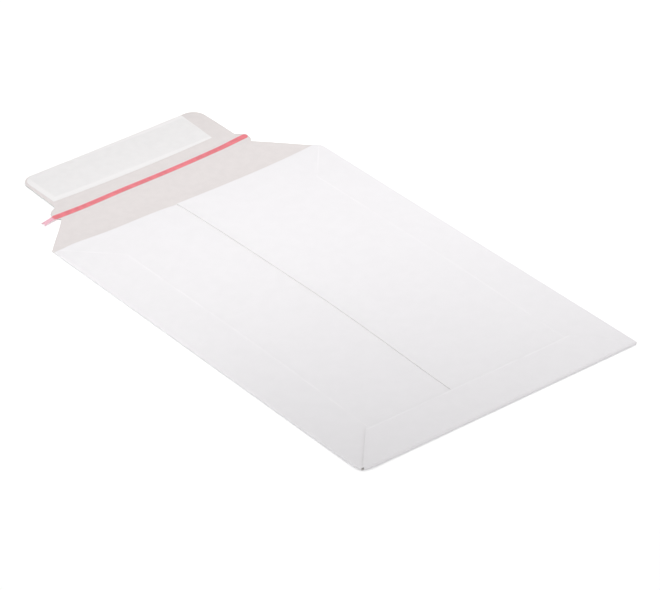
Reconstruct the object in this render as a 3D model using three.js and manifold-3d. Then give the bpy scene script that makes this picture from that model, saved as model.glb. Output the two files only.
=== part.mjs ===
// Cardboard envelope: a pocket of solid board folded from one blank and glued along its back,
// with its closing flap laid open, a tear tape across the flap and a glue strip under a paper liner.
// Millimetres, +Z up. The origin is the middle of the pocket's underside and +Y runs to the mouth.
// The envelope lies on its front panel, so the glued back panels face up.

import * as THREE from 'three';
import { mergeVertices } from 'three/addons/utils/BufferGeometryUtils.js';
import Module from 'manifold-3d';

// Board and pocket
const boardThickness = 0.6;
const pocketWidth = 240;
const pocketLength = 344;
const foldGap = 1.0; // clear height inside, along the side folds and the bottom
const crestGap = 6.8; // clear height inside at the crest of the back
const mouthGap = 5.2; // clear height inside at the middle of the mouth
const crestFromBottom = 190; // from the bottom fold to the crest
const mouthRecess = 10.8; // how far the middle of the mouth's edge stands back from the crease
const archPower = 2.4; // 2 is a parabola across the back, more is flatter in the middle
const rampPower = 1.3; // how softly the back lifts off above the bottom flap
const droopPower = 4; // how late the back comes down again towards the mouth

// Centre seam: the right-hand back panel lies on the left-hand one
const seamAtBottom = -14.8; // x of the upper panel's edge at the bottom fold
const seamAtMouth = -18.3; // and at the mouth: the seam is folded slightly out of square
const seamOverlap = 20;
const seamDip = 14; // length over which the lower panel eases down under the upper one

// Bottom flap, folded up over the back panels and glued
const bottomFlapDepth = 35;
const bottomFlapTaper = 30; // how much narrower each end is at the flap's edge
const bottomFlapRoot = 3; // length of the bend that lies inside the front panel
const bottomFlapInset = 0.5; // from the start of each side fold to the end of the bottom fold
const glueSink = 0.1; // how far the flap beds into the panels that it is glued to

// Closing flap, measured from the crease at the mouth
const creaseGap = 0.3;
const flapLength = 96;
const flapBaseInset = 0.5; // at each end of the crease
const throatAt = 33; // where the slanted sides end
const throatInset = 33.5; // how far they have come in from the pocket's sides
const tabReach = 3; // how far the thumb tabs stand out past the throat
const tabLength = 15;
const tabRadius = 5;
const tipInset = 40; // from the pocket's sides to the sides of the flap beyond the tabs
const tipRadius = 11;

// Tear tape across the flap, with a free tail past the left-hand tab
const tapeWidth = 5;
const tapeThickness = 0.1;
const tapeAt = 38.5; // centre line, from the crease
const tapeSetback = 1.5; // from the right-hand tab's end
const tailLength = 14; // past the left-hand tab's end
const tailFork = 3;

// Glue strip and its release liner
const linerThickness = 0.08;
const linerWidth = 40.5;
const linerEdgeMargin = 0.5; // to the flap's outer edge
const linerLeftMargin = 1;
const linerRightMargin = 13.5;
const glueThickness = 0.1;
const glueMargin = 2; // from the liner's edges to the glue

// Facets
const frontSteps = 2;
const foldSteps = 6;
const panelSteps = 9;
const lengthSteps = 18;
const bendSteps = 6;
const cornerSteps = 6;

// Worked out from the sizes above
const halfWidth = pocketWidth / 2;
const halfLength = pocketLength / 2;
const foldHeight = foldGap + 2 * boardThickness;
const foldRadius = foldHeight / 2;
const flatHalfWidth = halfWidth - foldRadius;
const bottomHeight = foldHeight + boardThickness;
const bottomRadius = bottomHeight / 2;
const panelsStart = bottomRadius - halfLength;
const bottomFlapEdge = bottomFlapDepth - halfLength;
const crestAt = crestFromBottom - halfLength;
const mouthAt = halfLength - mouthRecess;

const wasm = await Module();
wasm.setup();

// A number from 0 to 1 as t goes from 0 to 1, level at both ends.
function ease(t) {
  const s = Math.min(Math.max(t, 0), 1);
  return s * s * (3 - 2 * s);
}

// 1 on the centre line, 0 at the side folds.
function archAt(x) {
  return 1 - Math.abs(x / flatHalfWidth) ** archPower;
}

// Clear height inside on the centre line: level under the bottom flap, then a ramp up to the crest
// and a droop to the mouth.
function clearHeightAt(y) {
  if (y <= crestAt) {
    const t = Math.max((y - bottomFlapEdge) / (crestAt - bottomFlapEdge), 0);
    return foldGap + (crestGap - foldGap) * Math.sin((t * Math.PI) / 2) ** rampPower;
  }
  const t = (y - crestAt) / (mouthAt - crestAt);
  return crestGap + (mouthGap - crestGap) * t ** droopPower;
}

// Height of the back's upper face, without the dip beside the seam.
function backAt(x, y) {
  return foldHeight + (clearHeightAt(y) - foldGap) * archAt(x);
}

// x of the upper panel's edge.
function seamAt(y) {
  const t = (y + halfLength) / pocketLength;
  return seamAtBottom + (seamAtMouth - seamAtBottom) * t;
}

// Height of the lower panel's upper face: one board down under the upper panel.
function lowerPanelAt(x, y) {
  return backAt(x, y) - boardThickness * ease(1 + (x - seamAt(y)) / seamDip);
}

// One station round the pocket's section. `skin` is 0 on the outside and 1 on the inside of the board.
// place(y) gives its x and z at a height y along the pocket, and reach is the y at which it ends.
function frontStation(share, skin) {
  const x = flatHalfWidth * (2 * share - 1);
  return { place: () => [x, skin * boardThickness], reach: halfLength };
}

function foldStation(side, angle, skin) {
  const radius = foldRadius - skin * boardThickness;
  const x = side * (flatHalfWidth + radius * Math.cos(angle));
  const z = foldRadius + radius * Math.sin(angle);
  return { place: () => [x, z], reach: halfLength };
}

function upperPanelStation(share, skin) {
  const edge = (y) => seamAt(y) + skin * seamOverlap;
  const xAt = (y) => flatHalfWidth + (edge(y) - flatHalfWidth) * share;
  return {
    place: (y) => [xAt(y), backAt(xAt(y), y) - skin * boardThickness],
    reach: halfLength - mouthRecess * archAt(xAt(mouthAt)),
  };
}

function lowerPanelStation(share, skin) {
  const edge = (y) => seamAt(y) + skin * seamOverlap;
  const xAt = (y) => edge(y) - (edge(y) + flatHalfWidth) * share;
  return {
    place: (y) => [xAt(y), lowerPanelAt(xAt(y), y) - skin * boardThickness],
    reach: halfLength - mouthRecess * archAt(xAt(mouthAt)),
  };
}

// The stations run along the front, up the right fold, back over both panels and down the left fold.
function sectionStations(skin) {
  const stations = [];
  for (let i = 0; i <= frontSteps; i++) stations.push(frontStation(i / frontSteps, skin));
  for (let i = 1; i < foldSteps; i++) {
    stations.push(foldStation(1, Math.PI * (i / foldSteps - 0.5), skin));
  }
  for (let i = 0; i <= panelSteps; i++) stations.push(upperPanelStation(i / panelSteps, skin));
  for (let i = 0; i <= panelSteps; i++) {
    stations.push(lowerPanelStation((i / panelSteps) ** 1.5, skin));
  }
  for (let i = 1; i < foldSteps; i++) {
    stations.push(foldStation(-1, Math.PI * (0.5 - i / foldSteps), skin));
  }
  return stations;
}

// Rings of points from the bottom to the mouth, one point for each station.
function sectionRings(skin) {
  const stations = sectionStations(skin);
  return Array.from({ length: lengthSteps + 1 }, (_, row) =>
    stations.map(({ place, reach }) => {
      const y = panelsStart + (reach - panelsStart) * (row / lengthSteps);
      const [x, z] = place(y);
      return [x, y, z];
    }),
  );
}

// A closed wall between an outer and an inner skin of rings, with a rim at each end.
function wallBetween(outer, inner) {
  const rows = outer.length;
  const around = outer[0].length;
  const points = [...outer.flat(), ...inner.flat()];
  const faces = [];
  const quad = (a, b, c, d) => faces.push(a, b, c, a, c, d);
  const at = (row, k, skin) => skin * rows * around + row * around + (k % around);
  for (let k = 0; k < around; k++) {
    for (let row = 0; row < rows - 1; row++) {
      quad(at(row, k, 0), at(row + 1, k, 0), at(row + 1, k + 1, 0), at(row, k + 1, 0));
      quad(at(row, k, 1), at(row, k + 1, 1), at(row + 1, k + 1, 1), at(row + 1, k, 1));
    }
    quad(at(0, k, 0), at(0, k + 1, 0), at(0, k + 1, 1), at(0, k, 1));
    const end = rows - 1;
    quad(at(end, k, 0), at(end, k, 1), at(end, k + 1, 1), at(end, k + 1, 0));
  }
  return geometryOf(points, faces);
}

function geometryOf(points, faces) {
  const geometry = new THREE.BufferGeometry();
  geometry.setAttribute('position', new THREE.Float32BufferAttribute(points.flat(), 3));
  geometry.setIndex(faces);
  return geometry;
}

function solidOf(geometry) {
  const bare = new THREE.BufferGeometry();
  bare.setAttribute('position', geometry.getAttribute('position'));
  bare.setIndex(geometry.getIndex());
  const merged = mergeVertices(bare, 1e-5);
  return new wasm.Manifold(
    new wasm.Mesh({
      numProp: 3,
      vertProperties: new Float32Array(merged.getAttribute('position').array),
      triVerts: new Uint32Array(merged.getIndex().array),
    }),
  );
}

function geometryFromSolid(solid) {
  const { vertProperties, triVerts } = solid.getMesh();
  const geometry = new THREE.BufferGeometry();
  geometry.setAttribute('position', new THREE.BufferAttribute(vertProperties, 3));
  geometry.setIndex(new THREE.BufferAttribute(triVerts, 1));
  geometry.computeVertexNormals();
  return geometry;
}

// The bottom flap's section: out of the front panel, round the bottom fold and up over the back.
// Each entry is [y, z outside, y inside, z inside, half width].
function bottomFlapRows() {
  const half = flatHalfWidth - bottomFlapInset;
  const root = panelsStart + bottomFlapRoot;
  const rows = [[root, 0, root, boardThickness - glueSink, half]];
  const innerRadius = bottomRadius - boardThickness;
  for (let i = 0; i <= bendSteps; i++) {
    const angle = Math.PI * (i / bendSteps);
    const outward = Math.sin(angle);
    const upward = -Math.cos(angle);
    rows.push([
      panelsStart - bottomRadius * outward,
      bottomRadius + bottomRadius * upward,
      panelsStart - innerRadius * outward,
      bottomRadius + innerRadius * upward - (i === bendSteps ? glueSink : 0),
      half,
    ]);
  }
  const top = bottomHeight - boardThickness - glueSink;
  rows.push([bottomFlapEdge, bottomHeight, bottomFlapEdge, top, half - bottomFlapTaper]);
  return rows;
}

function bottomFlapGeometry() {
  const ring = ([y, z, yInside, zInside, half]) => [
    [-half, y, z],
    [half, y, z],
    [half, yInside, zInside],
    [-half, yInside, zInside],
  ];
  const rings = bottomFlapRows().map(ring);
  const points = rings.flat();
  const faces = [];
  const quad = (a, b, c, d) => faces.push(a, b, c, a, c, d);
  for (let row = 0; row < rings.length - 1; row++) {
    for (let k = 0; k < 4; k++) {
      const next = (k + 1) % 4;
      quad(4 * row + k, 4 * row + next, 4 * row + 4 + next, 4 * row + 4 + k);
    }
  }
  const last = points.length - 4;
  quad(3, 2, 1, 0);
  quad(last, last + 1, last + 2, last + 3);
  return geometryOf(points, faces);
}

function pocketGeometry() {
  const walls = solidOf(wallBetween(sectionRings(0), sectionRings(1)));
  const bottomFlap = solidOf(bottomFlapGeometry());
  return geometryFromSolid(walls.add(bottomFlap));
}

// The closing flap's outline: slanted sides, a thumb tab at each end of the tear line, a rounded tip.
function closingFlapShape() {
  const base = halfWidth - flapBaseInset;
  const throat = halfWidth - throatInset;
  const tab = throat + tabReach;
  const tabTop = throatAt + tabLength;
  const tip = halfWidth - tipInset;
  const shape = new THREE.Shape();
  shape.moveTo(-base, creaseGap);
  shape.lineTo(base, creaseGap);
  shape.lineTo(throat, throatAt);
  shape.quadraticCurveTo(tab, throatAt + tabReach / 2, tab, throatAt + tabReach + tabRadius);
  shape.quadraticCurveTo(tab, tabTop - tabReach, tip, tabTop);
  shape.lineTo(tip, flapLength - tipRadius);
  shape.absarc(tip - tipRadius, flapLength - tipRadius, tipRadius, 0, Math.PI / 2, false);
  shape.lineTo(tipRadius - tip, flapLength);
  shape.absarc(tipRadius - tip, flapLength - tipRadius, tipRadius, Math.PI / 2, Math.PI, false);
  shape.lineTo(-tip, tabTop);
  shape.quadraticCurveTo(-tab, tabTop - tabReach, -tab, throatAt + tabReach + tabRadius);
  shape.quadraticCurveTo(-tab, throatAt + tabReach / 2, -throat, throatAt);
  shape.closePath();
  return shape;
}

// The tape: round at its right-hand end, forked at the tip of its tail.
function tearTapeShape() {
  const tab = halfWidth - throatInset + tabReach;
  const half = tapeWidth / 2;
  const right = tab - tapeSetback;
  const left = -tab - tailLength;
  const shape = new THREE.Shape();
  shape.moveTo(left, tapeAt - half);
  shape.lineTo(right - half, tapeAt - half);
  shape.absarc(right - half, tapeAt, half, -Math.PI / 2, Math.PI / 2, false);
  shape.lineTo(left, tapeAt + half);
  shape.lineTo(left + tailFork, tapeAt);
  shape.closePath();
  return shape;
}

// A strip along the flap's outer edge, inset all round; its outer left-hand corner follows the flap's.
function edgeStripShape(inset) {
  const tip = halfWidth - tipInset;
  const left = -tip + linerLeftMargin + inset;
  const right = tip - linerRightMargin - inset;
  const outer = flapLength - linerEdgeMargin - inset;
  const innerEdge = flapLength - linerEdgeMargin - linerWidth + inset;
  const radius = Math.max(tipRadius - linerLeftMargin - inset, 1);
  const shape = new THREE.Shape();
  shape.moveTo(left, innerEdge);
  shape.lineTo(right, innerEdge);
  shape.lineTo(right, outer);
  shape.lineTo(left + radius, outer);
  shape.absarc(left + radius, outer - radius, radius, Math.PI / 2, Math.PI, false);
  shape.closePath();
  return shape;
}

function sheetGeometry(shape, thickness) {
  return new THREE.ExtrudeGeometry(shape, {
    depth: thickness,
    bevelEnabled: false,
    curveSegments: cornerSteps,
  });
}

function piece(name, geometry, material, height) {
  const mesh = new THREE.Mesh(geometry, material);
  mesh.name = name;
  mesh.position.z = height;
  return mesh;
}

const whiteBoard = new THREE.MeshStandardMaterial({ color: 0xf1f0f1, roughness: 0.75, metalness: 0 });
const boardInside = new THREE.MeshStandardMaterial({ color: 0xe6e0df, roughness: 0.85, metalness: 0 });
const redFilm = new THREE.MeshStandardMaterial({ color: 0xee7f88, roughness: 0.4, metalness: 0 });
const hotMelt = new THREE.MeshStandardMaterial({ color: 0xe9e2c8, roughness: 0.35, metalness: 0 });
const linerPaper = new THREE.MeshStandardMaterial({ color: 0xefedec, roughness: 0.5, metalness: 0 });

const closingFlap = new THREE.Group();
closingFlap.position.y = halfLength;
closingFlap.add(
  piece('closing_flap', sheetGeometry(closingFlapShape(), boardThickness), boardInside, 0),
  piece('tear_tape', sheetGeometry(tearTapeShape(), tapeThickness), redFilm, boardThickness),
  piece('glue_strip', sheetGeometry(edgeStripShape(glueMargin), glueThickness), hotMelt, boardThickness),
  piece(
    'release_liner',
    sheetGeometry(edgeStripShape(0), linerThickness),
    linerPaper,
    boardThickness + glueThickness,
  ),
);

const envelope = new THREE.Group();
envelope.add(piece('pocket', pocketGeometry(), whiteBoard, 0), closingFlap);

export default envelope;
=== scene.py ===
"""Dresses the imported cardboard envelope: board, folds, tear tape, liner, and a plain studio."""

import math

import bpy
import numpy as np
from bpy.props import FloatProperty, FloatVectorProperty, PointerProperty
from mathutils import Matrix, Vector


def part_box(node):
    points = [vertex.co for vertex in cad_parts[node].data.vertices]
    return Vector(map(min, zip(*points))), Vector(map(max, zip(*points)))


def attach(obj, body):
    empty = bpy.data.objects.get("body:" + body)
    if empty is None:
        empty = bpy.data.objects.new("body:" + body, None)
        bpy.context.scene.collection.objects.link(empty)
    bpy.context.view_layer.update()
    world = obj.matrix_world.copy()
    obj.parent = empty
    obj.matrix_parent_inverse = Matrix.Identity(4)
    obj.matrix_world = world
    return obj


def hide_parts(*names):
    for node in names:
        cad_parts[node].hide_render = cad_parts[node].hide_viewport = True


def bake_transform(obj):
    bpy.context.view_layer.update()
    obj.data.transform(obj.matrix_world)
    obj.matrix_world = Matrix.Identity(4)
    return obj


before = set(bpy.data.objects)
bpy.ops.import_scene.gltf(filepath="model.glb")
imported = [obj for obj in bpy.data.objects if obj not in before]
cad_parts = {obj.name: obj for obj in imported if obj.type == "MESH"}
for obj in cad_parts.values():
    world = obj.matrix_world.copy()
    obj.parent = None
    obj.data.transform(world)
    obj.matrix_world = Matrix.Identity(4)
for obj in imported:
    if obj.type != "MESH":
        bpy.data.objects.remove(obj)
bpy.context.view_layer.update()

bl_info = {
    "name": "Cardboard envelope",
    "version": (1, 0, 0),
    "blender": (4, 5, 0),
    "location": "View3D > Sidebar > Envelope",
    "description": "Builds the board, tear tape and liner of an open mailing envelope",
    "category": "Add Mesh",
}

MM = 0.001
FOLDED_BOARD = "pocket"  # the body that lies on the table
OPEN_FLAP = "flap"  # the body that turns on the mouth crease
OUTER, INNER, CUT = 0, 1, 2  # the order of a sheet's materials
CLEARANCE = 0.02 * MM  # between sheets that lie on each other, so that no two faces coincide
EASED = {"interpolation_type": "SMOOTHSTEP"}  # a Map Range that starts and stops softly
COLOURS = {"data_type": "RGBA"}  # a Mix of two colours, whose sockets go by number
FIRST, SECOND, MIXED = 6, 7, 2

pocket_low, pocket_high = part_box("pocket")
flap_low, flap_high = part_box("closing_flap")
tape_low, tape_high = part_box("tear_tape")
glue_low, glue_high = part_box("glue_strip")
liner_low, liner_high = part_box("release_liner")


def linear(hex_colour):
    """The linear red, green and blue of an sRGB hex colour."""
    channels = [int(hex_colour[i : i + 2], 16) / 255 for i in (1, 3, 5)]
    return tuple(c / 12.92 if c <= 0.04045 else ((c + 0.055) / 1.055) ** 2.4 for c in channels)


def length(name, default, description):
    """A size in metres that a user can change."""
    return FloatProperty(name=name, default=default, description=description, unit="LENGTH", precision=4)


def colour(name, default, description):
    """A colour that a user can change, from an sRGB hex value."""
    return FloatVectorProperty(
        name=name,
        default=linear(default),
        description=description,
        subtype="COLOR",
        size=3,
        min=0,
        max=1,
    )


class EnvelopeSizes(bpy.types.PropertyGroup):
    """The sizes of the envelope, the outer ones from the frame."""

    half_width: length("Half width", pocket_high.x, "From the middle of the pocket to a side fold")
    half_length: length("Half length", -pocket_low.y, "From the middle of the pocket to the crease")
    board: length("Board", flap_high.z - flap_low.z, "Thickness of the board")
    fold_gap: length("Gap at the folds", 1.0 * MM, "Clear height inside, along the folds")
    crest_gap: length("Gap at the crest", 6.8 * MM, "Clear height inside, at the highest place")
    mouth_gap: length("Gap at the mouth", 5.2 * MM, "Clear height inside, at the mouth's middle")
    crest_from_bottom: length("Crest", 190 * MM, "From the bottom fold to the crest of the back")
    mouth_recess: length("Mouth recess", 10.8 * MM, "From the crease back to the mouth's edge")
    seam_at_bottom: length("Seam at the bottom", -14.8 * MM, "X of the upper panel's edge")
    seam_at_mouth: length("Seam at the mouth", -18.3 * MM, "X of the upper panel's edge")
    seam_overlap: length("Seam overlap", 20 * MM, "Width of the glued overlap")
    seam_dip: length("Seam dip", 14 * MM, "Length over which the lower panel eases down")
    bottom_flap_depth: length("Bottom flap", 35 * MM, "From the bottom fold to the flap's edge")
    bottom_flap_taper: length("Bottom flap taper", 30 * MM, "How far each end comes in")
    crease_zone: length("Crease zone", 2.5 * MM, "Board each side of the crease that bends")
    flap_length: length("Flap", flap_high.y + pocket_low.y, "From the crease to the outer edge")
    flap_curl: length("Flap curl", 0.4 * MM, "How far the flap's outer edge stands up")
    flap_cup: length("Flap cup", 0.7 * MM, "How far the flap's sides stand up past the throat")
    throat_at: length("Throat", 33 * MM, "From the crease to the end of the slanted sides")
    throat_inset: length("Throat inset", 33.5 * MM, "From a side fold in to the throat")
    tab_reach: length("Tab reach", 3 * MM, "How far a thumb tab stands out past the throat")
    tab_length: length("Tab length", 15 * MM, "Length of a thumb tab along the flap")
    tip_inset: length("Tip inset", 40 * MM, "From a side fold in to the side of the flap's tip")
    tip_radius: length("Tip radius", 11 * MM, "Corner radius of the flap's tip")
    tear_skew: length("Tear skew", 1.9 * MM, "How far the tear line runs out of square at each end")
    tear_drift: length("Tear drift", 3.0 * MM, "How far the thumb tabs are set to the left")
    tip_flare: length("Tip flare", 1.6 * MM, "How much wider the flap's tip is at the left-hand tab")
    tip_drift: length("Tip drift", 2.6 * MM, "How far the tip's left side is set to the left")
    tape_bow: length("Tape bow", 1.0 * MM, "How far the tape's middle sags towards the crease")
    liner_bow: length("Liner bow", 1.6 * MM, "How far the liner's inner edge sags to the crease")
    corner_round: length("Mouth corner", 9 * MM, "Radius of the worn right corner at the mouth")
    tape_dip: length("Tape dip", 1.5 * MM, "How far the tape's left end runs down to the crease")
    liner_short: length("Liner short", 3 * MM, "How far the liner stops short at its right end")
    left_recess: length("Left recess", 4 * MM, "How far the mouth's left corner is cut away")
    crush: length("Crushed corner", 2.1 * MM, "How far the bottom left corner is pushed in, each way")
    crush_reach: length("Crush reach", 12 * MM, "How far the crushed corner reaches along the folds")
    corner_lift: length("Corner lift", 0.7 * MM, "How far the bottom left corner stands off the table")
    lift_reach: length("Lift reach", 90 * MM, "How far the lifted corner reaches along the folds")
    score_inset: length("Score inset", 35 * MM, "From a side fold in to the long score line")


class EnvelopeLooks(bpy.types.PropertyGroup):
    """The colours of the envelope's materials."""

    white_board: colour("White board", "#F2F0F2", "Coated outer face of the board")
    board_inside: colour("Board inside", "#E5DFDE", "Uncoated inner face of the board")
    cut_edge: colour("Cut edge", "#E2E0DE", "Cut edge of the board")
    tear_film: colour("Tear film", "#EE7C86", "Film of the tear tape")
    film_tail: colour("Film tail", "#F3BCCB", "Free tail of the tear tape, seen against the light")
    hot_melt: colour("Hot melt", "#E9E2C8", "Glue under the liner")
    liner: colour("Liner", "#F3F1F1", "Release liner paper")


def add_node(tree, kind, inputs=None, **settings):
    """Adds a node, sets its settings, and gives each input a value or a link."""
    node = tree.nodes.new(kind)
    for name, value in settings.items():
        setattr(node, name, value)
    for name, value in (inputs or {}).items():
        if isinstance(value, bpy.types.NodeSocket):
            tree.links.new(value, node.inputs[name])
        else:
            node.inputs[name].default_value = value
    return node


def new_material(name):
    """An empty material and its node tree."""
    material = bpy.data.materials.get(name)
    if material:
        bpy.data.materials.remove(material)
    material = bpy.data.materials.new(name)
    material.use_nodes = True
    material.node_tree.nodes.clear()
    return material, material.node_tree


def speckle(tree, place, size, detail=3.0, stretch=(1, 1, 1)):
    """Noise whose blots are about `size` metres across, from 0 to 1."""
    stretched = add_node(tree, "ShaderNodeMapping", {"Vector": place, "Scale": stretch})
    noise = add_node(
        tree,
        "ShaderNodeTexNoise",
        {"Vector": stretched.outputs["Vector"], "Scale": 1 / size, "Detail": detail, "Roughness": 0.6},
    )
    return noise.outputs["Fac"]


def tinted(colour_value, share):
    """Red, green, blue and alpha of a colour, made darker or lighter by a share."""
    return (*[min(c * share, 1.0) for c in colour_value], 1.0)


def toned(tree, factor, hue, low, high, spread=None):
    """A colour that a factor moves between two shares of itself.

    With a spread, it moves over that much each side of 0.5, eased at both ends.
    """
    if spread:
        factor = add_node(
            tree,
            "ShaderNodeMapRange",
            {"Value": factor, "From Min": 0.5 - spread, "From Max": 0.5 + spread},
            **EASED,
        ).outputs["Result"]
    return add_node(
        tree,
        "ShaderNodeMix",
        {"Factor": factor, FIRST: tinted(hue, low), SECOND: tinted(hue, high)},
        **COLOURS,
    ).outputs[MIXED]


def distance_to_line(tree, place, start, end):
    """Distance from each point to a straight line between two points in the XY plane."""
    run = np.array(end) - np.array(start)
    reach = float(np.linalg.norm(run))
    along = (*run / reach, 0)
    offset = add_node(
        tree, "ShaderNodeVectorMath", {0: place, 1: (*start, 0)}, operation="SUBTRACT"
    ).outputs["Vector"]
    flat = add_node(
        tree, "ShaderNodeVectorMath", {0: offset, 1: (1, 1, 0)}, operation="MULTIPLY"
    ).outputs["Vector"]
    travel = add_node(
        tree, "ShaderNodeVectorMath", {0: flat, 1: along}, operation="DOT_PRODUCT"
    ).outputs["Value"]
    held = add_node(tree, "ShaderNodeClamp", {"Value": travel, "Min": 0.0, "Max": reach}).outputs["Result"]
    foot = add_node(
        tree, "ShaderNodeVectorMath", {0: along, "Scale": held}, operation="SCALE"
    ).outputs["Vector"]
    return add_node(tree, "ShaderNodeVectorMath", {0: flat, 1: foot}, operation="DISTANCE").outputs["Value"]


def score_lines(tree, place, lines, width):
    """1 on the middle of the given lines and 0 off them."""
    nearest = None
    for start, end in lines:
        gap = distance_to_line(tree, place, start, end)
        if nearest is None:
            nearest = gap
        else:
            nearest = add_node(
                tree, "ShaderNodeMath", {0: nearest, 1: gap}, operation="MINIMUM"
            ).outputs["Value"]
    return add_node(
        tree,
        "ShaderNodeMapRange",
        {"Value": nearest, "From Max": width, "To Min": 1.0, "To Max": 0.0},
        **EASED,
    ).outputs["Result"]


def mirrored_place(tree):
    """Object coordinates, and the same with X made positive, so that one line serves both sides."""
    coordinates = add_node(tree, "ShaderNodeTexCoord").outputs["Object"]
    parts = add_node(tree, "ShaderNodeSeparateXYZ", {"Vector": coordinates})
    positive = add_node(
        tree, "ShaderNodeMath", {0: parts.outputs["X"]}, operation="ABSOLUTE"
    ).outputs["Value"]
    joined = add_node(
        tree, "ShaderNodeCombineXYZ", {"X": positive, "Y": parts.outputs["Y"], "Z": parts.outputs["Z"]}
    )
    return coordinates, joined.outputs["Vector"]


def bumps(tree, reliefs):
    """A normal from a list of (height from 0 to 1, depth in metres), added one on the other."""
    normal = None
    for height, depth in reliefs:
        inputs = {"Height": height, "Distance": depth, "Strength": 1.0}
        if normal is not None:
            inputs["Normal"] = normal
        normal = add_node(tree, "ShaderNodeBump", inputs).outputs["Normal"]
    return normal


def white_board_material(sizes, looks):
    """Clay-coated white board, calendered: nearly smooth, faintly cloudy, with score lines painted lighter,
    partly whitened coat and partly painted highlight.
    """
    material, tree = new_material("coated_white_board")
    place, mirrored = mirrored_place(tree)
    side = sizes.half_width - sizes.score_inset
    flap_edge = sizes.bottom_flap_depth - sizes.half_length
    # the score turns off to the pocket's corner 42 mm before the crease
    turn = sizes.half_length - 42 * MM
    corner = (sizes.half_width, sizes.half_length)
    # a pale line of painted highlight runs along the bottom flap's cut edge, just inside its rim
    edge_highlight_y = flap_edge - 1.2 * MM
    edge_highlight_end = sizes.half_width - sizes.bottom_flap_taper - 2 * MM
    lines = [
        ((side, flap_edge), (side, turn)),
        ((side, turn), corner),
        ((0.0, edge_highlight_y), (edge_highlight_end, edge_highlight_y)),
    ]
    # a line is 0.9 mm wide to each side, about what a creasing rule leaves
    score = score_lines(tree, mirrored, lines, 0.9 * MM)
    clouds = speckle(tree, place, 9 * MM, detail=4.0)
    fibres = speckle(tree, place, 0.7 * MM, detail=5.0, stretch=(1, 0.35, 1))
    tone = toned(tree, clouds, looks.white_board, 0.985, 1.0, spread=0.2)
    # the lines' lightening, part whitened coat and part painted highlight, is stronger in some places than
    # in others
    lightening_noise = speckle(tree, place, 16 * MM, detail=2.0)
    line_lightening = add_node(
        tree,
        "ShaderNodeMapRange",
        {"Value": lightening_noise, "From Min": 0.35, "From Max": 0.65, "To Min": 0.15, "To Max": 0.6},
        **EASED,
    ).outputs["Result"]
    shine = add_node(tree, "ShaderNodeMath", {0: score, 1: line_lightening}, operation="MULTIPLY").outputs["Value"]
    # the lines are mixed towards a lighter white: on the score lines partly whitened coat and partly
    # painted highlight, on the bottom flap's edge line only painted highlight
    lit = add_node(
        tree,
        "ShaderNodeMix",
        {"Factor": shine, FIRST: tone, SECOND: tinted(looks.white_board, 1.08)},
        **COLOURS,
    ).outputs[MIXED]
    finish = {
        "Base Color": lit,
        "Roughness": 0.62,
        "IOR": 1.5,
        "Specular IOR Level": 0.35,
        "Normal": bumps(tree, [(fibres, 0.018 * MM), (score, -0.08 * MM)]),
    }
    shader = add_node(tree, "ShaderNodeBsdfPrincipled", finish)
    add_node(tree, "ShaderNodeOutputMaterial", {"Surface": shader.outputs["BSDF"]})
    return material


def board_inside_material(looks):
    """Uncoated recycled board: warm grey, cloudy, with short fibres and a few darker flecks."""
    material, tree = new_material("uncoated_grey_board")
    place = add_node(tree, "ShaderNodeTexCoord").outputs["Object"]
    clouds = speckle(tree, place, 7 * MM, detail=5.0)
    fibres = speckle(tree, place, 0.9 * MM, detail=6.0, stretch=(0.45, 1, 1))
    flecks = speckle(tree, place, 0.6 * MM, detail=1.0)
    tone = toned(tree, clouds, looks.board_inside, 0.982, 1.012, spread=0.2)
    flecked = add_node(
        tree,
        "ShaderNodeMapRange",
        {"Value": flecks, "From Min": 0.68, "From Max": 0.8, "To Max": 0.35},
        **EASED,
    ).outputs["Result"]
    dusted = add_node(
        tree,
        "ShaderNodeMix",
        {"Factor": flecked, FIRST: tone, SECOND: tinted(looks.board_inside, 0.72)},
        **COLOURS,
    ).outputs[MIXED]
    finish = {
        "Base Color": dusted,
        "Roughness": 0.85,
        "IOR": 1.5,
        "Specular IOR Level": 0.25,
        "Normal": bumps(tree, [(clouds, 0.02 * MM), (fibres, 0.03 * MM)]),
    }
    shader = add_node(tree, "ShaderNodeBsdfPrincipled", finish)
    add_node(tree, "ShaderNodeOutputMaterial", {"Surface": shader.outputs["BSDF"]})
    return material


def cut_edge_material(looks):
    """Die-cut board edge: pressed plies of grey fibre, rougher than the faces."""
    material, tree = new_material("cut_board_edge")
    place = add_node(tree, "ShaderNodeTexCoord").outputs["Object"]
    # plies are stacked through 0.6 mm, so the pattern is much finer in Z
    plies = speckle(tree, place, 1.2 * MM, detail=3.0, stretch=(1, 1, 9))
    tone = toned(tree, plies, looks.cut_edge, 0.9, 1.06)
    finish = {
        "Base Color": tone,
        "Roughness": 0.92,
        "Specular IOR Level": 0.2,
        "Normal": bumps(tree, [(plies, 0.08 * MM)]),
    }
    shader = add_node(tree, "ShaderNodeBsdfPrincipled", finish)
    add_node(tree, "ShaderNodeOutputMaterial", {"Surface": shader.outputs["BSDF"]})
    return material


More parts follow.
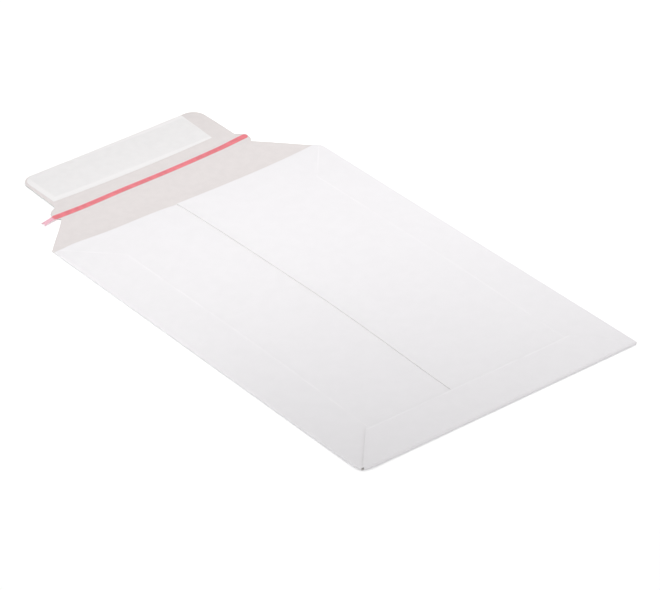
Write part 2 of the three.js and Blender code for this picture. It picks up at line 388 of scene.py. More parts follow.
def tear_film_material(sizes, looks):
    """Stretched polypropylene tear film: red, satin, with fine lengthwise draw lines.

    The free tail is paler, and the cut tips of its fork are a little darker, as painted shade.
    """
    material, tree = new_material("tear_film")
    place = add_node(tree, "ShaderNodeTexCoord").outputs["Object"]
    across = add_node(tree, "ShaderNodeSeparateXYZ", {"Vector": place}).outputs["X"]
    draw_lines = speckle(tree, place, 0.5 * MM, detail=2.0, stretch=(0.03, 1, 1))
    blotches = speckle(tree, place, 5 * MM, detail=3.0)
    body = toned(tree, blotches, looks.tear_film, 0.93, 1.05, spread=0.15)
    root = -(sizes.tear_drift + sizes.half_width - sizes.throat_inset + sizes.tab_reach)
    # the tail turns paler just off the board, and the painted shade on its tips begins some 11 mm out
    on_board, clear_of_tip_shade = (
        add_node(
            tree, "ShaderNodeMapRange", {"Value": across, "From Min": low, "From Max": high}, **EASED
        ).outputs["Result"]
        for low, high in ((root - 2.2 * MM, root - 0.8 * MM), (root - 12.0 * MM, root - 10.4 * MM))
    )
    # the tips are painted darker, down to 55% of the tail's colour, as shade
    tail = toned(tree, clear_of_tip_shade, looks.film_tail, 0.55, 1.0)
    tone = add_node(
        tree, "ShaderNodeMix", {"Factor": on_board, FIRST: tail, SECOND: body}, **COLOURS
    ).outputs[MIXED]
    finish = {
        "Base Color": tone,
        "Roughness": 0.42,
        "IOR": 1.49,
        "Normal": bumps(tree, [(draw_lines, 0.015 * MM), (blotches, 0.05 * MM)]),
    }
    shader = add_node(tree, "ShaderNodeBsdfPrincipled", finish)
    add_node(tree, "ShaderNodeOutputMaterial", {"Surface": shader.outputs["BSDF"]})
    return material


def hot_melt_material(looks):
    """Pressure-sensitive hot melt: pale amber, glossy and slightly uneven."""
    material, tree = new_material("hot_melt_glue")
    place = add_node(tree, "ShaderNodeTexCoord").outputs["Object"]
    runs = speckle(tree, place, 3 * MM, detail=2.0, stretch=(0.3, 1, 1))
    tone = toned(tree, runs, looks.hot_melt, 0.9, 1.05)
    finish = {
        "Base Color": tone,
        "Roughness": 0.3,
        "IOR": 1.48,
        "Normal": bumps(tree, [(runs, 0.05 * MM)]),
    }
    shader = add_node(tree, "ShaderNodeBsdfPrincipled", finish)
    add_node(tree, "ShaderNodeOutputMaterial", {"Surface": shader.outputs["BSDF"]})
    return material


def liner_material(looks):
    """Silicone-coated glassine: thin, cool white, softly shiny, and greyer where the glue shows through."""
    material, tree = new_material("silicone_liner_paper")
    place = add_node(tree, "ShaderNodeTexCoord").outputs["Object"]
    parts = add_node(tree, "ShaderNodeSeparateXYZ", {"Vector": place})
    # the glue begins 60% to 125% of this margin inside each of the liner's four edges
    margin = 3.2 * MM
    inside = None
    for axis, low, high in (("X", liner_low.x, liner_high.x), ("Y", liner_low.y, liner_high.y)):
        for edge, inward in ((low, margin), (high, -margin)):
            start, end = edge + 0.6 * inward, edge + 1.25 * inward
            share = add_node(
                tree,
                "ShaderNodeMapRange",
                {"Value": parts.outputs[axis], "From Min": start, "From Max": end},
                **EASED,
            ).outputs["Result"]
            if inside is None:
                inside = share
            else:
                inside = add_node(
                    tree, "ShaderNodeMath", {0: inside, 1: share}, operation="MULTIPLY"
                ).outputs["Value"]
    mottle = speckle(tree, place, 6 * MM, detail=5.0)
    crumple = speckle(tree, place, 14 * MM, detail=2.0, stretch=(0.6, 1.3, 1))
    uneven = add_node(
        tree,
        "ShaderNodeMapRange",
        {"Value": mottle, "From Min": 0.3, "From Max": 0.7, "To Min": 0.6},
        **EASED,
    ).outputs["Result"]
    patchy = add_node(tree, "ShaderNodeMath", {0: inside, 1: uneven}, operation="MULTIPLY").outputs["Value"]
    tone = toned(tree, patchy, looks.liner, 1.03, 0.965)
    finish = {
        "Base Color": tone,
        "Roughness": 0.46,
        "IOR": 1.45,
        "Specular IOR Level": 0.4,
        "Normal": bumps(tree, [(crumple, 0.25 * MM), (mottle, 0.06 * MM), (inside, 0.1 * MM)]),
    }
    shader = add_node(tree, "ShaderNodeBsdfPrincipled", finish)
    add_node(tree, "ShaderNodeOutputMaterial", {"Surface": shader.outputs["BSDF"]})
    return material


def ease(value):
    """0 to 1, level at both ends: three times the square less twice the cube."""
    held = np.clip(value, 0.0, 1.0)
    return held * held * (3 - 2 * held)


class Back:
    """The shape of the pocket's back, as formulas in x and y."""

    ARCH_POWER = 2.4  # 2 is a parabola across the back, more is flatter in the middle
    RAMP_POWER = 1.3  # how softly the back lifts off above the bottom flap
    DROOP_POWER = 4  # how late it comes down again towards the mouth
    WAVE_START = 60 * MM  # length over which the waves grow from the bottom flap's edge
    CORNER_CUT = 0.65  # share of the left cut that lies next to the corner

    def __init__(self, sizes):
        self.sizes = sizes
        self.fold_height = sizes.fold_gap + 2 * sizes.board
        self.fold_radius = self.fold_height / 2
        self.flat_half = sizes.half_width - self.fold_radius
        self.bottom_radius = (self.fold_height + sizes.board) / 2
        self.panels_start = self.bottom_radius - sizes.half_length
        self.flap_edge = sizes.bottom_flap_depth - sizes.half_length
        self.crest = sizes.crest_from_bottom - sizes.half_length
        self.mouth = sizes.half_length - sizes.mouth_recess

    def arch(self, x):
        """1 on the centre line, falling to 0 at the side folds as a power of x."""
        return 1 - np.abs(np.clip(x / self.flat_half, -1, 1)) ** self.ARCH_POWER

    def clear_height(self, y):
        """Inside height on the centre line: a power of a sine up to the crest, then a power of y down."""
        sizes = self.sizes
        up = np.clip((y - self.flap_edge) / (self.crest - self.flap_edge), 0, 1)
        down = np.clip((y - self.crest) / (self.mouth - self.crest), 0, 1.2)
        rise = np.sin(up * np.pi / 2) ** self.RAMP_POWER
        ramp = sizes.fold_gap + (sizes.crest_gap - sizes.fold_gap) * rise
        droop = sizes.crest_gap + (sizes.mouth_gap - sizes.crest_gap) * down**self.DROOP_POWER
        return np.where(y <= self.crest, ramp, droop)

    def waves(self, x, y):
        """Slow waves of board that has been folded and handled, none at the folds or under the flap.

        The sum of a product of two sines and a slanted sine, 0.14 and 0.10 mm high.
        """
        rise = ease((y - self.flap_edge) / self.WAVE_START) * self.arch(x)
        slow = np.sin(x / (31 * MM) + 0.7) * np.sin(y / (43 * MM) + 1.9)
        slant = np.sin((x + 0.6 * y) / (37 * MM))
        return rise * (0.14 * slow + 0.10 * slant) * MM

    def top(self, x, y):
        """Upper face of the back, without the dip beside the seam."""
        lift = (self.clear_height(y) - self.sizes.fold_gap) * self.arch(x)
        return self.fold_height + lift + self.waves(x, y)

    def seam(self, y):
        """X of the upper panel's edge: a straight line from the bottom fold to the mouth."""
        sizes = self.sizes
        share = (y + sizes.half_length) / (2 * sizes.half_length)
        return sizes.seam_at_bottom + (sizes.seam_at_mouth - sizes.seam_at_bottom) * share

    def lower_panel(self, x, y):
        """Upper face of the lower panel, one board down where it runs under the upper one."""
        dip = ease(1 + (x - self.seam(y)) / self.sizes.seam_dip)
        return self.top(x, y) - self.sizes.board * dip

    def corner(self, x):
        """Y of the worn right-hand corner at the mouth, a quarter circle. Left of it, the crease's Y."""
        radius = self.sizes.corner_round
        past = np.clip(x - self.sizes.half_width + radius, 0, radius)
        return self.sizes.half_length - radius + np.sqrt(radius**2 - past**2)

    def left_cut(self, x):
        """How far the mouth is cut away towards its left-hand corner, in two eased steps."""
        far = ease((-x - 40 * MM) / (40 * MM))
        near = ease((-x - 100 * MM) / (20 * MM))
        return self.sizes.left_recess * ((1 - self.CORNER_CUT) * far + self.CORNER_CUT * near)

    def mouth_edge(self, x):
        """Y of the mouth's cut edge: the crease less the recess times the arch, and less the left cut."""
        edge = self.sizes.half_length - self.sizes.mouth_recess * self.arch(x) - self.left_cut(x)
        return np.minimum(edge, self.corner(x))


def worn_corner(sizes, points):
    """The points with the bottom left-hand corner pushed in and lifted.

    Both moves fall off as the product of two squares, along the left fold and along the bottom fold.
    """
    moved = points.copy()
    from_left = points[..., 0] + sizes.half_width
    from_bottom = points[..., 1] + sizes.half_length

    def falloff(reach):
        return np.clip(1 - from_left / reach, 0, 1) ** 2 * np.clip(1 - from_bottom / reach, 0, 1) ** 2

    pushed = sizes.crush * falloff(sizes.crush_reach)
    moved[..., 0] += pushed
    moved[..., 1] += pushed
    moved[..., 2] += sizes.corner_lift * falloff(sizes.lift_reach)
    return moved


def quads(a, b, c, d):
    """Quads from four equal arrays of vertex numbers."""
    return np.stack([a.ravel(), b.ravel(), c.ravel(), d.ravel()], axis=1)


def finish_mesh(name, points, faces, kinds, materials):
    """A smooth object at the origin, sharp at its edges, from points, quads and each quad's material."""
    old = bpy.data.objects.get(name)
    if old:
        bpy.data.objects.remove(old)
    mesh = bpy.data.meshes.new(name)
    mesh.from_pydata(points.tolist(), [], faces.tolist())
    for material in materials:
        mesh.materials.append(material)
    mesh.polygons.foreach_set("material_index", kinds.astype(np.int32))
    mesh.polygons.foreach_set("use_smooth", np.ones(len(faces), bool))
    mesh.set_sharp_from_angle(angle=math.radians(40))
    mesh.update()
    piece = bpy.data.objects.new(name, mesh)
    bpy.context.scene.collection.objects.link(piece)
    return piece


def outward(surface):
    """Unit normals of a grid whose columns run along +X and rows along its path."""
    along_rows = np.gradient(surface, axis=0)
    along_columns = np.gradient(surface, axis=1)
    normal = np.cross(along_columns, along_rows)
    return normal / np.linalg.norm(normal, axis=2, keepdims=True)


def sheet_object(name, outer, thickness, materials):
    """A sheet: the outer grid, the same grid moved in by the thickness along its normals, and a rim.

    The materials are those of the outer face, the inner face and the rim.
    """
    rows, columns = outer.shape[:2]
    inner = outer - outward(outer) * thickness
    shift = rows * columns
    top = np.arange(shift).reshape(rows, columns)
    under = top + shift
    face_up = quads(top[:-1, :-1], top[:-1, 1:], top[1:, 1:], top[1:, :-1])
    face_down = quads(under[:-1, :-1], under[1:, :-1], under[1:, 1:], under[:-1, 1:])
    loop = np.concatenate([top[0, :-1], top[:-1, -1], top[-1, :0:-1], top[:0:-1, 0]])
    following = np.roll(loop, -1)
    rim = quads(loop + shift, following + shift, following, loop)
    points = np.concatenate([outer.reshape(-1, 3), inner.reshape(-1, 3)])
    kinds = np.repeat([OUTER, INNER, CUT], [len(face_up), len(face_down), len(rim)])
    return finish_mesh(name, points, np.concatenate([face_up, face_down, rim]), kinds, materials)


# points of the pocket's section along the front, each fold and the two panels, and rows up to the mouth
FRONT_POINTS, FOLD_POINTS, UPPER_POINTS, LOWER_POINTS = 61, 13, 90, 110
TUBE_ROWS = 120


def tube_skin(back, inset):
    """One skin of the folded tube: the outer one at inset 0, and at inset 1 the inner one, a board in.

    A ring runs along the front, round the right fold as a half circle, over the upper panel to the
    seam, over the lower panel, and round the left fold. In the inner skin the seam's step lies one
    overlap further on, where the lower panel ends inside.
    """
    sizes = back.sizes
    flat = back.flat_half
    depth = inset * sizes.board
    overlap = inset * sizes.seam_overlap
    radius = back.fold_radius - depth
    front_reach = sizes.half_length - sizes.crease_zone
    rows = np.linspace(0, 1, TUBE_ROWS)[:, None]
    upper = np.linspace(0, 1, UPPER_POINTS)
    # the lower panel's points crowd towards the seam, where it dips
    lower = np.linspace(0, 1, LOWER_POINTS) ** 1.3
    angles = np.linspace(-np.pi / 2, np.pi / 2, FOLD_POINTS + 2)[1:-1]
    parts = []

    def add(x, z, y):
        parts.append(np.stack(np.broadcast_arrays(x, y, z), axis=-1))

    def along(reach):
        return back.panels_start + (reach[None] - back.panels_start) * rows

    def fold(side, turn, reach):
        x = side * (flat + radius * np.cos(turn))
        ends = front_reach + (reach - front_reach) * ease(1 + np.sin(turn))
        add(x, back.fold_radius + radius * np.sin(turn), along(np.minimum(ends, back.corner(x))))

    def panel(surface, spread):
        # the rows end on the mouth's edge, at the places that the points have at the mouth
        y = along(back.mouth_edge(spread(back.seam(back.mouth) + overlap)))
        x = spread(back.seam(y) + overlap)
        add(x, surface(x, y) - depth, y)

    x = flat * (2 * np.linspace(0, 1, FRONT_POINTS) - 1)
    add(x, depth, along(np.minimum(front_reach, back.corner(x))))
    fold(1, angles, sizes.half_length)
    panel(back.top, lambda edge: flat + (edge - flat) * upper)
    panel(back.lower_panel, lambda edge: edge - (edge + flat) * lower)
    fold(-1, angles[::-1], sizes.half_length - back.left_cut(-sizes.half_width))
    return np.concatenate(parts, axis=1)


def pocket_walls(sizes, materials):
    """The folded tube of the pocket: an outer and an inner skin of rings, joined at both open ends."""
    back = Back(sizes)
    outer, inner = tube_skin(back, 0), tube_skin(back, 1)
    count, around = outer.shape[:2]
    first = np.arange(count * around).reshape(count, around)
    second = np.roll(first, -1, axis=1)
    shift = count * around
    face_out = quads(first[:-1], first[1:], second[1:], second[:-1])
    face_in = quads(first[:-1], second[:-1], second[1:], first[1:]) + shift
    bottom_rim = quads(first[0], second[0], second[0] + shift, first[0] + shift)
    mouth_rim = quads(first[-1], first[-1] + shift, second[-1] + shift, second[-1])
    # the seam's step is a column of cut edge in each skin
    step = FRONT_POINTS + FOLD_POINTS + UPPER_POINTS - 1
    column = np.tile(np.arange(around) == step, count - 1)
    rims = np.full(len(bottom_rim) + len(mouth_rim), CUT)
    kinds = np.concatenate([np.where(column, CUT, OUTER), np.where(column, CUT, INNER), rims])
    points = worn_corner(sizes, np.concatenate([outer.reshape(-1, 3), inner.reshape(-1, 3)]))
    faces = np.concatenate([face_out, face_in, bottom_rim, mouth_rim])
    return finish_mesh("pocket_walls", points, faces, kinds, materials)


def bottom_flap(sizes, materials):
    """The board round the bottom fold: flat out of the front, a half circle, then flat over the back.

    A column of the grid is that path, and the rows narrow towards the flap's edge.
    """
    root_rows, lap_rows, columns = 4, 60, 121
    root_depth = 3 * MM  # of the path inside the front panel
    end_gap = 0.5 * MM  # from the start of each side fold
    back = Back(sizes)
    radius = back.bottom_radius
    start = back.panels_start
    bend = np.linspace(0, np.pi, 17)[1:-1]
    lap = np.linspace(0, 1, lap_rows)
    root = np.zeros(root_rows)
    before_lap = np.zeros(root_rows + len(bend))
    path_y = np.concatenate(
        [
            np.linspace(start + root_depth, start, root_rows),
            start - radius * np.sin(bend),
            start + (back.flap_edge - start) * lap,
        ]
    )
    path_z = np.concatenate([root, radius * (1 - np.cos(bend)), np.full(lap_rows, 2 * radius)])
    # the cut edge springs up a little off the glue
    spring = np.concatenate([before_lap, 0.25 * MM * lap**8])
    half = back.flat_half - end_gap - np.concatenate([before_lap, sizes.bottom_flap_taper * lap])
    across = np.linspace(-1, 1, columns)
    x = half[:, None] * across[None]
    y = np.broadcast_to(path_y[:, None], x.shape)
    from_end = half[:, None] - np.abs(x)
    # the slanted ends spring up too, over their last 9 mm, which shows them as a line
    sprung = np.concatenate([before_lap, ease(lap / 0.3)])[:, None]
    end_spring = 0.42 * MM * np.clip(1 - from_end / (9 * MM), 0, 1) ** 2 * sprung
    # the first rows lie in the front panel, a hair above its underside
    tucked = np.zeros_like(x)
    tucked[:root_rows] = CLEARANCE
    z = (path_z + spring)[:, None] + end_spring + tucked
    grid = worn_corner(sizes, np.stack([x, y, z], axis=-1))
    # the plies are pressed together in the last 3 mm of the fold, which nearly closes the hole there
    pressed = np.concatenate([root, np.minimum(1, 1.6 * np.sin(bend)), np.zeros(lap_rows)])[:, None]
    thickness = sizes.board + 0.65 * MM * pressed * ease(1 - from_end / (3 * MM))
    return sheet_object("bottom_flap", grid, thickness[..., None], materials)


def flap_height(sizes, x, v):
    """How far the flap's board stands off the table at x, and at v from the crease.

    The curl is a square law in v, to the outer edge. The cup is a square law in x, and it eases in at
    the throat and part of the way out again towards the outer edge.
    """
    curl = sizes.flap_curl * (np.clip(v, 0, None) / sizes.flap_length) ** 2
    into = ease((v - sizes.throat_at + 4 * MM) / (12 * MM))
    # over the outer 40% of the flap the cup loses 60% of its height
    out = 1 - 0.6 * ease((v - 0.6 * sizes.flap_length) / (0.4 * sizes.flap_length))
    side = sizes.half_width - sizes.tip_inset
    return curl + sizes.flap_cup * np.minimum(np.abs(x / side), 1.15) ** 2 * into * out


def bezier(start, handle, end, count):
    """Points of a quadratic curve."""
    t = np.linspace(0, 1, count)[:, None]
    return (1 - t) ** 2 * np.array(start) + 2 * t * (1 - t) * np.array(handle) + t**2 * np.array(end)


def flap_skew(sizes, x, v):
    """How far out of square the flap is at x, and at v from the crease: it grows as far as the throat."""
    tab = sizes.half_width - sizes.throat_inset + sizes.tab_reach
    return sizes.tear_skew * x / tab * ease(v / sizes.throat_at)


def left_flare(sizes, v):
    """How much wider the tip's left half is: a drift, and a flare that grows towards the tab."""
    notch = sizes.throat_at + sizes.tab_length
    share = np.clip((sizes.flap_length - v) / (sizes.flap_length - notch), 0, 1)
    return sizes.tip_drift + sizes.tip_flare * share


def flap_half_width(sizes, v, side):
    """Half width of the closing flap at v from the crease, on the left (-1) or the right (1).

    Slanted sides, a thumb tab of two quadratic curves, and a tip with a circular corner.
    """
    base_inset = 0.5 * MM  # at each end of the crease
    tab_root = 1.5 * MM  # from the throat to the first curve's handle
    tab_crest = 8 * MM  # from the throat to where the two curves meet
    tab_shoulder = 4.5 * MM if side > 0 else 3 * MM  # from the second curve's handle to the tab's end
    drift = -side * sizes.tear_drift
    base = sizes.half_width - base_inset
    throat = sizes.half_width - sizes.throat_inset + drift
    tab = throat + sizes.tab_reach
    low, high = sizes.throat_at, sizes.throat_at + sizes.tab_length
    tip = sizes.half_width - sizes.tip_inset + (float(left_flare(sizes, high)) if side < 0 else 0.0)
    outline = np.concatenate(
        [
            bezier((low, throat), (low + tab_root, tab), (low + tab_crest, tab), 14),
            bezier((low + tab_crest, tab), (high - tab_shoulder, tab), (high, tip), 14)[1:],
        ]
    )
    if side > 0:
        # the worn corner takes a third of its radius off the crease's end
        base = sizes.half_width - 0.33 * sizes.corner_round
    width = np.interp(v, np.append(0, outline[:, 0]), np.append(base, outline[:, 1]))
    if side < 0:
        width = width - np.where(v > high, left_flare(sizes, high) - left_flare(sizes, v), 0)
        # behind the crease the strip draws in, one in four
        width = width + 0.25 * np.clip(v, None, 0)
    start = sizes.flap_length - sizes.tip_radius
    past = np.clip((v - start) / sizes.tip_radius, 0, 1)
    return width - sizes.tip_radius * (1 - np.sqrt(1 - past**2))


def closing_flap(sizes, materials):
    """The open flap, inner face up, with the strip of front panel behind the crease.

    A grid of v along the flap by a share across it, between the two outlines.
    """
    zone = sizes.crease_zone
    margin = 3 * MM  # of fine rows beyond each end of the tabs
    tabs_from = sizes.throat_at - margin
    tabs_to = sizes.throat_at + sizes.tab_length + margin
    tip_from = sizes.flap_length - sizes.tip_radius
    corner = np.sin(np.linspace(0, np.pi / 2, 18)) * sizes.tip_radius
    v = np.concatenate(
        [
            np.linspace(-zone, zone, 15),
            np.linspace(zone, tabs_from, 22)[1:],
            np.linspace(tabs_from, tabs_to, 60)[1:],
            np.linspace(tabs_to, tip_from, 24)[1:],
            tip_from + corner[1:],
        ]
    )
    left = -flap_half_width(sizes, v, -1)
    right = flap_half_width(sizes, v, 1)
    share = np.linspace(0, 1, 141)
    x = left[:, None] + (right - left)[:, None] * share[None]
    y = sizes.half_length + v[:, None] + flap_skew(sizes, x, v[:, None])
    z = sizes.board + flap_height(sizes, x, v[:, None])
    return sheet_object("closing_flap_board", np.stack([x, y, z], axis=-1), sizes.board, materials)


def tear_tape(sizes, material):
    """The film along the tear line: a straight run on the board, then a free tail that runs down and sags.

    Rows run along the tape and columns across it. The tip is forked as two straight cuts.
    """
    width = tape_high.y - tape_low.y
    thickness = tape_high.z - tape_low.z
    fork_depth = 1.8 * MM
    tail_drop = 2.5 * MM  # of the tail's tip towards the crease
    tail_sag = 0.5 * MM  # of the tail's tip towards the table
    root = sizes.tear_drift + sizes.half_width - sizes.throat_inset + sizes.tab_reach
    # the tear line lies to the left, and the tape's ends follow it for a part
    tail = -root - tape_low.x + 0.4 * sizes.tear_drift
    right = tape_high.x - 0.75 * sizes.tear_drift
    line = (tape_low.y + tape_high.y) / 2 - sizes.half_length
    across = np.linspace(-1, 1, 21)
    run = np.concatenate([np.linspace(0, 1, 160), 1 + np.linspace(0, 1, 60)[1:]])
    on_board = np.clip(run, 0, 1)[:, None]
    free = np.clip(run - 1, 0, 1)[:, None]
    # the right-hand end is nearly a half circle and the tip of the tail a fork
    round_end = (width / 2) * (1 - np.sqrt(1 - 0.98 * across**2))
    start = right - round_end[None]
    fork = fork_depth * (1 - np.abs(across))[None]
    straight = start + (-root - start) * on_board
    x = straight - (tail - fork) * free
    # the film is a little narrower than its slot, the tail's middle was drawn out by hand, and the
    # right-hand end was pressed down wide and a little away from the crease
    at_end = ease(straight / right / 0.35 - 1.85)
    reach = width / 2 * across[None] * (0.94 - 0.1 * np.sin(np.pi * free) + 0.12 * at_end)
    rise = 0.9 * MM * ease(straight / right) + 1.1 * MM * at_end
    bow = sizes.tape_bow * (1 - (straight / root) ** 2) - rise
    # the dip begins 25 mm left of the middle and takes 50 mm
    dip = sizes.tape_dip * ease((-straight - 25 * MM) / (50 * MM))
    v = line - bow - dip - tail_drop * free + reach
    rest = flap_height(sizes, straight, np.where(free > 0, line, v))
    y = sizes.half_length + v + flap_skew(sizes, straight, v)
    z = sizes.board + thickness + CLEARANCE + rest - tail_sag * free**2
    # rows run towards -X and columns towards +Y, so the columns are turned round to keep the face up
    grid = np.stack([x, y, z], axis=-1).transpose(1, 0, 2)[:, ::-1]
    return sheet_object("tear_tape_film", grid, thickness, [material] * 3)


def edge_strip(sizes, low, high, rows, columns):
    """A grid over the strip along the flap's outer edge: x, and v from the crease.

    Its left-hand side and outer left-hand corner follow the flap's, its inner edge has a slight bow,
    and its right-hand end stops short, most of all at the inner edge.
    """
    share_up = np.linspace(0, 1, rows)[:, None]
    side = sizes.half_width - sizes.tip_inset
    radius = sizes.tip_radius - (low.x + side)
    outer = high.y - sizes.half_length
    inner = low.y - sizes.half_length
    level = inner + (outer - inner) * share_up
    past = np.clip((level - outer + radius) / radius, 0, 1)
    left = low.x - 0.6 * sizes.tip_drift + radius * (1 - np.sqrt(1 - past**2 * 0.999))
    right = high.x - sizes.liner_short * (1 - 0.8 * share_up)
    x = left + (right - left) * np.linspace(0, 1, columns)[None]
    bow = -sizes.liner_bow * (1 - (x / side) ** 2)
    return x, inner + bow + (outer - inner - bow) * share_up


def glue_strip(sizes, material):
    """The band of hot melt on the flap, a flat sheet with shallow lengthwise runs: a product of sines."""
    x, v = edge_strip(sizes, glue_low, glue_high, 40, 90)
    runs = 0.02 * MM * np.sin(v / (0.9 * MM)) * np.sin(x / (23 * MM))
    z = glue_high.z + flap_height(sizes, x, v) + runs
    grid = np.stack([x, sizes.half_length + v + flap_skew(sizes, x, v), z], axis=-1)
    # a tenth thinner than the solid, so that its underside clears the board
    return sheet_object("glue_strip_band", grid, (glue_high.z - glue_low.z) * 0.9, [material] * 3)


def release_liner(sizes, material):
    """The liner over the glue: a thin sheet with a slow cockle, lying down on the board along its margins.

    The cockle is a product of two sines, 0.07 mm high, and a slanted sine of 0.06 mm, on 0.10 mm.
    """
    x, v = edge_strip(sizes, liner_low, liner_high, 90, 240)
    y = sizes.half_length + v + flap_skew(sizes, x, v)
    cockle = np.sin(x / (8.3 * MM) + 0.8 * np.sin(v / (9 * MM))) * np.sin(v / (11 * MM) + 0.4)
    slow = np.sin(x / (19 * MM) + v / (27 * MM))
    rise = (0.10 + 0.07 * cockle + 0.06 * slow) * MM
    # the glue stops 3.5 mm short of every edge, and there the paper touches the board
    from_sides = np.minimum(x - x[:, :1], x[:, -1:] - x)
    from_ends = np.minimum(v - v[0], v[-1] - v)
    on_glue = ease(np.minimum(from_sides, from_ends) / (3.5 * MM))
    laid = (glue_high.z - glue_low.z) * 0.8
    z = liner_high.z - laid + flap_height(sizes, x, v) + CLEARANCE + (laid + rise) * on_glue
    grid = np.stack([x, y, z], axis=-1)
    return sheet_object("release_liner_paper", grid, liner_high.z - liner_low.z, [material] * 3)


def board_materials(sizes, looks):
    """The three finishes of the board: outer face, inner face, cut edge."""
    names = ("coated_white_board", "uncoated_grey_board", "cut_board_edge")
    made = [bpy.data.materials.get(name) for name in names]
    if not all(made):
        made = [
            white_board_material(sizes, looks),
            board_inside_material(looks),
            cut_edge_material(looks),
        ]
    return made


class ENVELOPE_OT_pocket(bpy.types.Operator):
    """Build the folded pocket: its walls and the bottom flap"""

    bl_idname = "envelope.pocket"
    bl_label = "Build pocket"

    def execute(self, context):
        sizes = context.scene.envelope_sizes
        materials = board_materials(sizes, context.scene.envelope_looks)
        for piece in (pocket_walls(sizes, materials), bottom_flap(sizes, materials)):
            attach(piece, FOLDED_BOARD)
            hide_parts("pocket")
        return {"FINISHED"}


class ENVELOPE_OT_closing_flap(bpy.types.Operator):
    """Build the closing flap, open at the mouth crease"""

    bl_idname = "envelope.closing_flap"
    bl_label = "Build closing flap"

    def execute(self, context):
        sizes = context.scene.envelope_sizes
        outside, inside, edge = board_materials(sizes, context.scene.envelope_looks)
        piece = closing_flap(sizes, [inside, outside, edge])
        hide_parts("closing_flap")
        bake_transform(piece)
        return {"FINISHED"}


class ENVELOPE_OT_tear_tape(bpy.types.Operator):
    """Build the tear tape and its free tail"""

    bl_idname = "envelope.tear_tape"
    bl_label = "Build tear tape"

    def execute(self, context):
        sizes = context.scene.envelope_sizes
        piece = tear_tape(sizes, tear_film_material(sizes, context.scene.envelope_looks))
        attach(piece, OPEN_FLAP)
        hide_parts("tear_tape")
        return {"FINISHED"}


class ENVELOPE_OT_closure(bpy.types.Operator):
    """Build the glue strip and the release liner over it"""

    bl_idname = "envelope.closure"
    bl_label = "Build glue strip and liner"

    def execute(self, context):
        sizes = context.scene.envelope_sizes
        looks = context.scene.envelope_looks
        glue = glue_strip(sizes, hot_melt_material(looks))
        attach(glue, OPEN_FLAP)
        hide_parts("glue_strip")
        liner = release_liner(sizes, liner_material(looks))
        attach(liner, OPEN_FLAP)
        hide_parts("release_liner")
        return {"FINISHED"}


# the studio: a camera far off with a long lens, two soft lamps overhead, two low ones, a white room
CAMERA_AZIMUTH = -38.816
CAMERA_ELEVATION = 32.565
CAMERA_DISTANCE = 2408.8 * MM
CAMERA_TARGET = (-2.683 * MM, 6.279 * MM, 0.0)
CAMERA_LENS = 191.1
ROOM_LIGHT = 0.665
# each lamp: place, aim, side of its square, watts, beam angle in degrees
LAMPS = {
    "key_left": ((-0.12, 0.14, 1.2), (-0.12, 0.14, 0.0), 0.3, 0.084, 26.9),
    "key_right": ((0.245, 0.055, 1.2), (0.245, 0.055, 0.0), 0.3, 0.42, 48.0),
    "fill": ((-0.15, -1.45, 0.35), (0.0, 0.0, 0.0), 0.8, 1.3, 180.0),
    "side": ((-0.75, 0.35, 0.12), (-0.1, 0.1, 0.0), 0.2, 0.9, 180.0),
}
WHITE = (1, 1, 1, 1)
TABLE_WHITE = "#F0F0F0"
FLOOR_SPAN = 6.0
FLOOR_HEIGHT = -0.05 * MM  # a hair under the envelope
FLOOR_GLOW = 0.40


def place_camera():
    """A camera on a long lens, at the angle of a product photograph taken from the bottom corner."""
    azimuth, elevation = math.radians(CAMERA_AZIMUTH), math.radians(CAMERA_ELEVATION)
    back = np.array(
        [
            math.sin(azimuth) * math.cos(elevation),
            -math.cos(azimuth) * math.cos(elevation),
            math.sin(elevation),
        ]
    )
    camera = bpy.data.objects.new("camera", bpy.data.cameras.new("camera"))
    bpy.context.scene.collection.objects.link(camera)
    camera.location = np.array(CAMERA_TARGET) + back * CAMERA_DISTANCE
    camera.rotation_euler = (math.pi / 2 - elevation, 0, azimuth)
    camera.data.lens = CAMERA_LENS
    camera.data.sensor_width = 36
    camera.data.clip_end = 20
    bpy.context.scene.camera = camera


def light_room():
    """An even white room, two soft key lamps overhead, a fill low in front and a weak lamp at the left."""
    world = bpy.data.worlds.new("white_room")
    world.use_nodes = True
    tree = world.node_tree
    tree.nodes.clear()
    path = add_node(tree, "ShaderNodeLightPath")
    seen = add_node(
        tree,
        "ShaderNodeMath",
        {0: path.outputs["Is Camera Ray"], 1: path.outputs["Is Transmission Ray"]},
        operation="MAXIMUM",
    ).outputs["Value"]
    strength = add_node(
        tree, "ShaderNodeMapRange", {"Value": seen, "To Min": ROOM_LIGHT}, **EASED
    ).outputs["Result"]
    background = add_node(tree, "ShaderNodeBackground", {"Color": WHITE, "Strength": strength})
    add_node(tree, "ShaderNodeOutputWorld", {"Surface": background.outputs["Background"]})
    bpy.context.scene.world = world
    for name, settings in LAMPS.items():
        hang_lamp(name, *settings)


def hang_lamp(name, place, aim, size, power, spread):
    """A square soft lamp that shines at a point and isn't itself in the picture."""
    data = bpy.data.lights.new(name, "AREA")
    data.size = size
    data.energy = power
    data.spread = math.radians(spread)
    lamp = bpy.data.objects.new(name, data)
    lamp.visible_camera = False
    bpy.context.scene.collection.objects.link(lamp)
    lamp.location = place
    run = np.array(aim) - np.array(place)
    lamp.rotation_euler = (
        math.atan2(math.hypot(run[0], run[1]), -run[2]),
        0,
        math.atan2(run[1], run[0]) - math.pi / 2,
    )


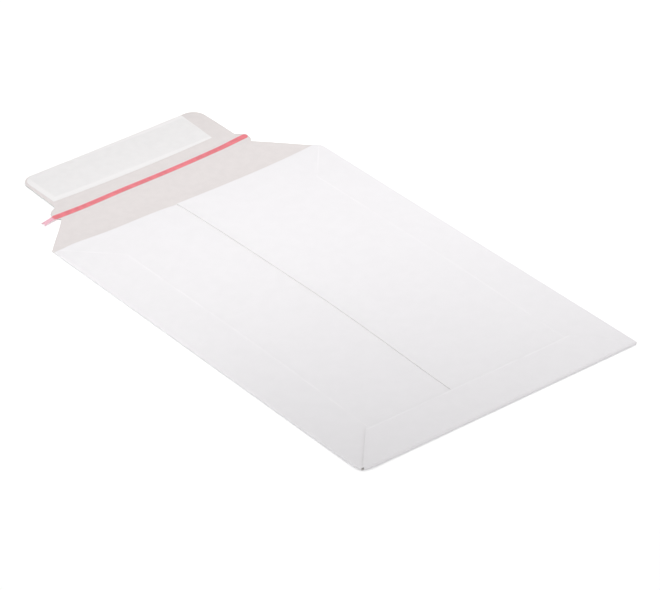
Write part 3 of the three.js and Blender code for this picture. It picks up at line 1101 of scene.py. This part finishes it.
def lay_floor():
    """A white table top that glows to the camera, so that it is white and still holds a shadow."""
    material, tree = new_material("white_table")
    path = add_node(tree, "ShaderNodeLightPath")
    seen = path.outputs["Is Camera Ray"]
    for ray in ("Is Glossy Ray", "Is Transmission Ray"):
        seen = add_node(
            tree, "ShaderNodeMath", {0: seen, 1: path.outputs[ray]}, operation="MAXIMUM"
        ).outputs["Value"]
    strength = add_node(
        tree, "ShaderNodeMapRange", {"Value": seen, "To Max": FLOOR_GLOW}, **EASED
    ).outputs["Result"]
    glow = add_node(tree, "ShaderNodeEmission", {"Color": WHITE, "Strength": strength})
    matt = add_node(tree, "ShaderNodeBsdfDiffuse", {"Color": (*linear(TABLE_WHITE), 1), "Roughness": 0.6})
    both = add_node(tree, "ShaderNodeAddShader", {0: glow.outputs["Emission"], 1: matt.outputs["BSDF"]})
    add_node(tree, "ShaderNodeOutputMaterial", {"Surface": both.outputs["Shader"]})
    reach = FLOOR_SPAN / 2
    x, y = np.meshgrid(np.linspace(-reach, reach, 3), np.linspace(-reach, reach, 3))
    top = np.arange(9).reshape(3, 3)
    faces = quads(top[:-1, :-1], top[:-1, 1:], top[1:, 1:], top[1:, :-1])
    points = np.stack([x, y, np.full_like(x, FLOOR_HEIGHT)], axis=-1).reshape(-1, 3)
    floor = finish_mesh("table", points, faces, np.zeros(len(faces)), [material])


class ENVELOPE_OT_stage(bpy.types.Operator):
    """Set up the table, the light and the camera"""

    bl_idname = "envelope.stage"
    bl_label = "Set up studio"

    def execute(self, context):
        place_camera()
        light_room()
        lay_floor()
        context.scene.view_settings.view_transform = "Standard"
        return {"FINISHED"}


class ENVELOPE_PT_panel(bpy.types.Panel):
    """The envelope's sizes, colours and build steps"""

    bl_label = "Envelope"
    bl_idname = "ENVELOPE_PT_panel"
    bl_space_type = "VIEW_3D"
    bl_region_type = "UI"
    bl_category = "Envelope"

    def draw(self, context):
        for group in (context.scene.envelope_sizes, context.scene.envelope_looks):
            box = self.layout.box()
            for name in group.__annotations__:
                box.prop(group, name)
        for operator in OPERATORS:
            self.layout.operator(operator.bl_idname)


OPERATORS = (
    ENVELOPE_OT_pocket,
    ENVELOPE_OT_closing_flap,
    ENVELOPE_OT_tear_tape,
    ENVELOPE_OT_closure,
    ENVELOPE_OT_stage,
)
CLASSES = (EnvelopeSizes, EnvelopeLooks, *OPERATORS, ENVELOPE_PT_panel)


def register():
    """Makes the classes and the two groups of settings known."""
    for each in CLASSES:
        bpy.utils.register_class(each)
    bpy.types.Scene.envelope_sizes = PointerProperty(type=EnvelopeSizes)
    bpy.types.Scene.envelope_looks = PointerProperty(type=EnvelopeLooks)


def unregister():
    """Takes them away again."""
    del bpy.types.Scene.envelope_looks
    del bpy.types.Scene.envelope_sizes
    for each in reversed(CLASSES):
        bpy.utils.unregister_class(each)


def main():
    register()
    bpy.ops.envelope.pocket()
    bpy.ops.envelope.closing_flap()
    bpy.ops.envelope.tear_tape()
    bpy.ops.envelope.closure()
    bpy.ops.envelope.stage()


if __name__ == "__main__":
    main()
